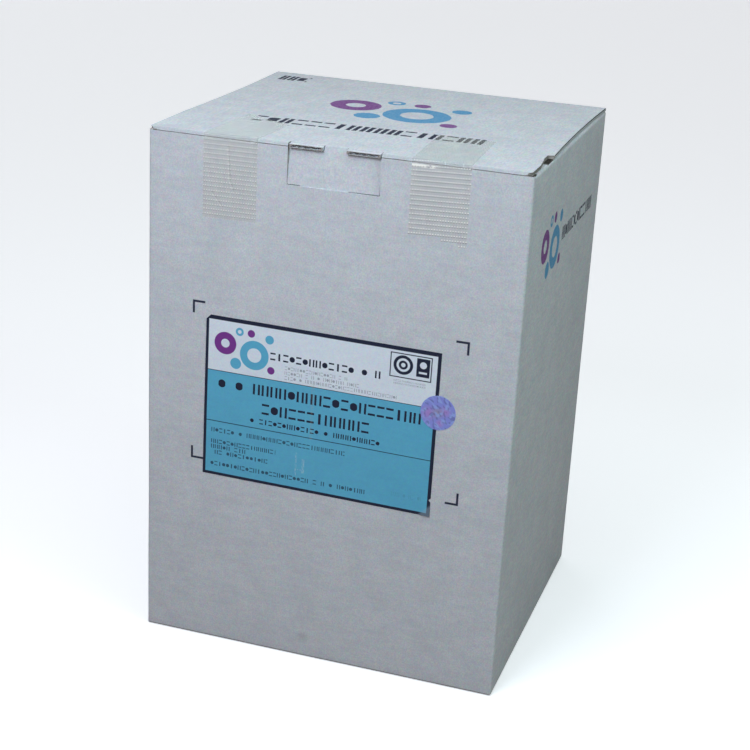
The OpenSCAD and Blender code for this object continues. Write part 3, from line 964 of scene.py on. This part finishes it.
def thicken(piece, thickness):
    """Gives a flat sheet its thickness and writes its flat pattern, in millimetres, to its UV map"""
    solid = piece.modifiers.new("thickness", "SOLIDIFY")
    solid.thickness = thickness
    solid.offset = 1
    bpy.context.view_layer.objects.active = piece
    bpy.ops.object.modifier_apply(modifier=solid.name)
    mesh = piece.data
    while mesh.uv_layers:
        mesh.uv_layers.remove(mesh.uv_layers[0])
    pattern = mesh.uv_layers.new(name="sheet")
    for loop in mesh.loops:
        place = mesh.vertices[loop.vertex_index].co
        pattern.data[loop.index].uv = (place.x / MM, place.y / MM)


def finish_piece(piece, node, materials, angle=30):
    """Gives a piece its materials, the carton's unevenness and its shading, hangs it under the root and hides
    the CAD part that it takes the place of
    """
    for material in materials:
        piece.data.materials.append(material)
    move_points(piece, unevenness)
    pick(piece)
    bpy.ops.object.shade_smooth_by_angle(angle=math.radians(angle))
    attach(piece, "root")
    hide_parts(node)
    return piece


# The carton's mesh: the distance of its cuts, how far they stay from its folds and from the lid, when two
# points are one, and when a point counts as on a plane
CELL = 15 * MM
FOLD_MARGIN = 6 * MM
LID_MARGIN = 12 * MM
WELD = 0.001 * MM
NEAR = 0.06 * MM

# How far the lid's left edge comes out before its notch and in it, and how far the right edge's core does
LEFT_EDGE_OUT = 2 * MM
LEFT_NOTCH_OUT = 5 * MM
CORE_OUT = 1 * MM


def straighten_left_edge(mesh):
    """Brings the lid's hidden left edge out to the side panel, as the photograph's outline shows it"""
    for vertex in mesh.vertices:
        behind = vertex.co.y - FRONT
        on_lid = vertex.co.z > TOP - BOARD - 0.02 * MM
        if on_lid and vertex.co.x < LEFT + 9 * MM and behind < NOTCH_END - 1 * MM:
            vertex.co.x -= LEFT_EDGE_OUT if behind < NOTCH_START + 1 * MM else LEFT_NOTCH_OUT
    mesh.update()


def fill_right_edge(mesh):
    """Brings the board's core nearly flush with the lid's right edge, whose line is fine in the photograph"""
    on_edge = [
        vertex for vertex in mesh.vertices
        if vertex.co.x > RIGHT - 5 * MM and vertex.co.y > FRONT + NOTCH_END - 1 * MM
        and TOP - 2.7 * MM < vertex.co.z < TOP - 0.3 * MM
    ]
    outline = {}
    for vertex in on_edge:
        station = round(vertex.co.y / MM)
        outline[station] = max(outline.get(station, vertex.co.x), vertex.co.x)
    for vertex in on_edge:
        if outline[round(vertex.co.y / MM)] - vertex.co.x > CORE_OUT:
            vertex.co.x += CORE_OUT
    mesh.update()


def is_liner(at, facing):
    """True where a face of the carton is white liner and not a cut edge of the board"""
    off_lock = abs(at.x - LOCK_MIDDLE)
    beside_neck = NECK_HALF - NEAR < off_lock < LOCK_WIDTH / 2
    if beside_neck and at.z > TOP - BOARD - 1 * MM and at.y < FRONT + STRIP_LENGTH:
        return facing.y > -0.9
    lid_side = (
        at.z > TOP - BOARD - NEAR and abs(facing.z) < 0.3
        and abs(at.x) > RIGHT - 8 * MM and at.y < BACK - BOARD
    )
    glued_joint = (
        at.x < LEFT + BOARD + 1 * MM and at.y > BACK - 1.3 * MM
        and abs(facing.x) < 0.5 and abs(at.x - LEFT) > NEAR
    )
    if lid_side or glued_joint:
        return False
    outside = (
        abs(at.x) > RIGHT - NEAR or at.y < FRONT + NEAR or at.y > BACK - NEAR
        or at.z > TOP - NEAR or at.z < 0.6 * MM
    )
    tilted = max(abs(facing.x), abs(facing.y), abs(facing.z)) < 0.9995
    on_flap = abs(facing.z) > 0.9 and abs(at.z - (TOP - BOARD - 0.5 * MM)) < NEAR
    on_lip = off_lock < LOCK_WIDTH / 2 and abs(at.z - (TOP - LOCK_HEIGHT)) < NEAR
    return outside or tilted or on_flap or on_lip


def carton_board():
    """The folded carton, with its panels cut finely enough to sag a little"""
    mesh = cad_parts["carton"].data.copy()
    mesh.materials.clear()
    piece = bpy.data.objects.new("carton_board", mesh)
    mesh.name = piece.name
    bpy.context.collection.objects.link(piece)
    edit(piece)
    bpy.ops.mesh.customdata_custom_splitnormals_clear()
    bpy.ops.mesh.remove_doubles(threshold=WELD)
    bpy.ops.mesh.dissolve_limited(angle_limit=math.radians(0.3))
    close_edit()
    straighten_left_edge(mesh)
    fill_right_edge(mesh)
    edit(piece)
    cut_across(0, LEFT + FOLD_MARGIN, RIGHT - FOLD_MARGIN, CELL)
    cut_across(1, FRONT + FOLD_MARGIN, BACK - FOLD_MARGIN, CELL)
    cut_across(2, FOLD_MARGIN, TOP - LID_MARGIN, CELL)
    close_edit()
    for face in mesh.polygons:
        face.material_index = 0 if is_liner(face.center, face.normal) else 1
    return finish_piece(piece, "carton", [liner_material(), kraft_material()])


LABEL_CELL = 2 * MM


def label_sheet():
    """The label: its chipped corner, small tear and lifted lower corner"""
    half_width, half_height = LABEL_WIDTH / 2, LABEL_HEIGHT / 2
    tear = LABEL_TEAR_UP - half_height
    crease = Vector((half_width - LABEL_FOLD, -half_height, 0))
    piece = flat_stock("label_sheet", LABEL_WIDTH, LABEL_HEIGHT,
                       round(LABEL_WIDTH / LABEL_CELL), round(LABEL_HEIGHT / LABEL_CELL))
    edit(piece)
    cut((LABEL_CHIP - half_width, half_height, 0), (-1, 1, 0), clear_outer=True)
    for share in (-1, -0.5, 0, 0.5, 1):
        cut((0, tear + share * LABEL_TEAR, 0), (0, 1, 0))
    cut(crease, (1, -1, 0))
    close_edit()

    def torn(at):
        depth = max(0.0, LABEL_TEAR - abs(at.y - tear))
        near = smooth(half_width - 3 * LABEL_CELL, half_width, at.x)
        return Vector((at.x - depth * near, at.y, at.z))
    move_points(piece, torn)
    thicken(piece, LABEL_THICK)

    def stuck(at):
        past = (at.x - crease.x) - (at.y - crease.y)
        lift = LABEL_LIFT * max(0.0, past) / LABEL_FOLD
        turned = Matrix.Rotation(LABEL_TURN, 3, "Z") @ at
        return Vector((LABEL_X + turned.x, FRONT - turned.z - lift, LABEL_Z + turned.y))
    move_points(piece, stuck)
    return finish_piece(piece, "label", [label_material()], 40)


SEAL_LOW, SEAL_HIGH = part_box("seal")
SEAL_RADIUS = (SEAL_HIGH.x - SEAL_LOW.x) / 2
SEAL_MIDDLE = (SEAL_LOW + SEAL_HIGH) / 2
SEAL_THICK = 0.15 * MM
SEAL_CELLS = 44
SEAL_GAP = 0.01 * MM
SEAL_BEND = (-0.2 * MM, 1.4 * MM)

# A sheet that is pressed on keeps this share of its thickness
PRESSED = 0.9


def seal_foil():
    """The round seal, pressed down over the label's edge"""
    piece = flat_stock("seal_foil", 2, 2, SEAL_CELLS, SEAL_CELLS)

    def rounded(at):
        across = at.x * math.sqrt(1 - at.y * at.y / 2) * SEAL_RADIUS
        up = at.y * math.sqrt(1 - at.x * at.x / 2) * SEAL_RADIUS
        return Vector((across, up, 0))
    move_points(piece, rounded)
    thicken(piece, SEAL_THICK)

    def stuck(at):
        x, z = SEAL_MIDDLE.x + at.x, SEAL_MIDDLE.z + at.y
        past_label = x - LABEL_X - LABEL_WIDTH / 2 + math.sin(LABEL_TURN) * (z - LABEL_Z)
        under = LABEL_THICK * (1 - smooth(*SEAL_BEND, past_label))
        return Vector((x, FRONT - under - SEAL_GAP - at.z * PRESSED, z))
    move_points(piece, stuck)
    return finish_piece(piece, "seal", [foil_material()], 60)


TAPE_FILM = 0.13 * MM
TAPE_CELL = 0.55 * MM
TAPE_GAP = 0.02 * MM
DRIFT_LENGTH = 90 * MM


def slanted(start, end):
    """A tape's length from the lid's front edge, from start to end across its width, less the fold"""
    def length_at(share):
        return start + (end - start) * share - FOLD
    return length_at


def tape_strip(name, node, middle, width, top_of, end_of, drift, finish):
    """
    A tape bent over the lid's front fold. At a share of its width, top_of gives its length over the lid and
    end_of its length down the front. Over the lid it drifts aside, by drift in each DRIFT_LENGTH.
    """
    shares = [step / 20 for step in range(21)]
    longest = max(map(top_of, shares)) + ARC + max(map(end_of, shares))
    piece = flat_stock(name, width, longest, round(width / TAPE_CELL), round(longest / TAPE_CELL))

    def trimmed(at):
        share = at.x / width + 0.5
        top, end = top_of(share), end_of(share) + ARC
        along = at.y / longest + 0.5
        return Vector((at.x, along * (top + end) - end, 0))
    move_points(piece, trimmed)
    thicken(piece, TAPE_FILM)
    for face in piece.data.polygons:
        face.material_index = 1 if face.normal.z < -0.5 else 0

    def laid(at):
        back = at.y
        rise = TAPE_GAP + at.z * PRESSED
        x = middle + at.x
        if back > 0:
            return Vector((x - drift * back / DRIFT_LENGTH, FRONT + FOLD + back, TOP + rise))
        if back > -ARC:
            angle = -back / FOLD
            out, up = (FOLD + rise) * math.sin(angle), (FOLD + rise) * math.cos(angle)
            return Vector((x, FRONT + FOLD - out, TOP - FOLD + up))
        return Vector((x, FRONT - rise, TOP - FOLD + ARC + back))
    move_points(piece, laid)
    return finish_piece(piece, node, [finish, clear_material()], 50)


# The left tape: its lengths over the lid and down the front at its two sides, its rows' slope, its drift
# aside, the contrast of its weave, and its creases from point to point on its flat pattern
LEFT_WIDTH = 48 * MM
LEFT_OVER_LID = (86 * MM, 62 * MM)
LEFT_DOWN_FRONT = (72 * MM, 71 * MM)
LEFT_SLOPE = 0.015
LEFT_DRIFT = -5.5 * MM
LEFT_CONTRAST = 0.6
LEFT_CREASES = (
    ((-2.1, -9.6), (-0.2, -39.0)),
    ((-0.2, -39.0), (2.2, -44.6)),
    ((2.2, -44.6), (3.5, -49.0)),
    ((-16.2, -50.8), (-6.0, -63.2)),
)


def left_tape():
    low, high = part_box("tape_left")
    finish = tape_material("strapping_tape_left", LEFT_FILM, LEFT_SLOPE, LEFT_CONTRAST,
                           LEFT_CREASES, None)
    return tape_strip("left_tape", "tape_left", (low.x + high.x) / 2, LEFT_WIDTH,
                      slanted(*LEFT_OVER_LID), slanted(*LEFT_DOWN_FRONT), LEFT_DRIFT, finish)


# The right tape: its middle, its lengths over the lid at its two sides and down the front at its left side,
# the step of its torn end and where each one starts, its rows' slope, its drift aside, the contrast of its
# weave, and the glare on its first row by left, right, low and high
RIGHT_MIDDLE = 89.3 * MM
RIGHT_WIDTH = 49.5 * MM
RIGHT_OVER_LID = (94.8 * MM, 93.3 * MM)
RIGHT_DOWN_FRONT = 62.5 * MM
TEAR_STEP = 3.7 * MM
TEAR_STARTS = (0.55, 0.85)
RIGHT_SLOPE = math.tan(math.radians(2.5))
RIGHT_DRIFT = 4.8 * MM
RIGHT_CONTRAST = 1.0
RIGHT_GLARE = (-24.8, -5.0, -8.0, -5.4)


def right_tape():
    def torn_end(share):
        steps = sum(share > start for start in TEAR_STARTS)
        return RIGHT_DOWN_FRONT - FOLD - share * RIGHT_WIDTH * RIGHT_SLOPE + steps * TEAR_STEP
    finish = tape_material("strapping_tape_right", RIGHT_FILM, RIGHT_SLOPE, RIGHT_CONTRAST,
                           None, RIGHT_GLARE)
    return tape_strip("right_tape", "tape_right", RIGHT_MIDDLE, RIGHT_WIDTH,
                      slanted(*RIGHT_OVER_LID), torn_end, RIGHT_DRIFT, finish)


# The studio: the floor's size, and the world's colour and strength for light and for the camera
FLOOR_SIZE = 60
WORLD_LIGHT = (1.0, 0.28, 0.28, 1.0)
WORLD_LIGHT_STRENGTH = 0.08
WORLD_SEEN = (0.98, 0.98, 1.0, 1.0)
WORLD_SEEN_STRENGTH = 0.94

# The lamps: name, kind, place, aim, strength, colour, and a sun's angle or an area's side
LAMPS = (
    ("overhead", "SUN", (0, -0.3, 3.0), (0, 0, 0), 1.38, (0.85, 0.975, 1.0), math.radians(70)),
    ("behind", "SUN", (-1.0, 1.2, 0.12), (0, 0, 0), 0.9, (0.82, 0.94, 1.0), math.radians(40)),
    ("key", "AREA", (-0.15, -0.85, 1.0), (0, -0.1, 0.45), 6.23, (0.838, 0.894, 1.0), 0.4),
    ("side", "AREA", (1.2, -0.5, 1.2), (0.1, 0, 0.3), 7.75, (0.743, 1.0, 0.98), 0.8),
)


def lamp(name, kind, at, aim, strength, colour, size):
    data = bpy.data.lights.new(name, kind)
    data.energy = strength
    data.color = colour
    if kind == "AREA":
        data.shape = "SQUARE"
        data.size = size
    else:
        data.angle = size
    holder = bpy.data.objects.new(name, data)
    holder.location = at
    holder.rotation_euler = (Vector(aim) - Vector(at)).to_track_quat("-Z", "Y").to_euler()
    bpy.context.collection.objects.link(holder)


def studio():
    """A pale floor, a pale world that lights little, and the lamps"""
    bpy.ops.object.select_all(action="DESELECT")
    bpy.ops.mesh.primitive_plane_add(size=FLOOR_SIZE, location=(0, 0, 0))
    floor = bpy.context.active_object
    floor.name = floor.data.name = "floor"
    floor.data.materials.append(floor_material())

    world = bpy.data.worlds.new("studio")
    world.use_nodes = True
    w = Wiring(world.node_tree)
    background = world.node_tree.nodes["Background"].inputs
    seen = w.put("ShaderNodeLightPath").outputs["Is Camera Ray"]
    w.feed(background["Color"], w.blend(seen, WORLD_LIGHT, WORLD_SEEN))
    w.feed(background["Strength"], w.between(seen, WORLD_LIGHT_STRENGTH, WORLD_SEEN_STRENGTH))
    bpy.context.scene.world = world
    for settings in LAMPS:
        lamp(*settings)


# The camera, fitted to the carton's edges in the photograph
CAMERA_AZIMUTH = math.radians(17.226)
CAMERA_ELEVATION = math.radians(20.524)
CAMERA_ROLL = math.radians(3.108)
CAMERA_DISTANCE = 1.53803
CAMERA_LENS = 79.19
CAMERA_SENSOR = 36
CAMERA_AIM = Vector((0, 0, 0.234))
CAMERA_RIGHT = -0.002602
CAMERA_UP = -0.010053


def camera():
    back = Vector((
        math.sin(CAMERA_AZIMUTH) * math.cos(CAMERA_ELEVATION),
        -math.cos(CAMERA_AZIMUTH) * math.cos(CAMERA_ELEVATION),
        math.sin(CAMERA_ELEVATION),
    ))
    level_right = (-back).cross(Vector((0, 0, 1))).normalized()
    level_up = level_right.cross(-back)
    right = math.cos(CAMERA_ROLL) * level_right + math.sin(CAMERA_ROLL) * level_up
    up = -math.sin(CAMERA_ROLL) * level_right + math.cos(CAMERA_ROLL) * level_up
    at = CAMERA_AIM + CAMERA_RIGHT * right + CAMERA_UP * up + CAMERA_DISTANCE * back
    data = bpy.data.cameras.new("camera")
    data.lens = CAMERA_LENS
    data.sensor_width = CAMERA_SENSOR
    holder = bpy.data.objects.new("camera", data)
    holder.matrix_world = Matrix.Translation(at) @ Matrix((right, up, back)).transposed().to_4x4()
    bpy.context.collection.objects.link(holder)
    bpy.context.scene.camera = holder


bpy.context.scene.view_settings.view_transform = "Standard"
camera()
studio()
carton_board()
label_sheet()
seal_foil()
left_tape()
right_tape()
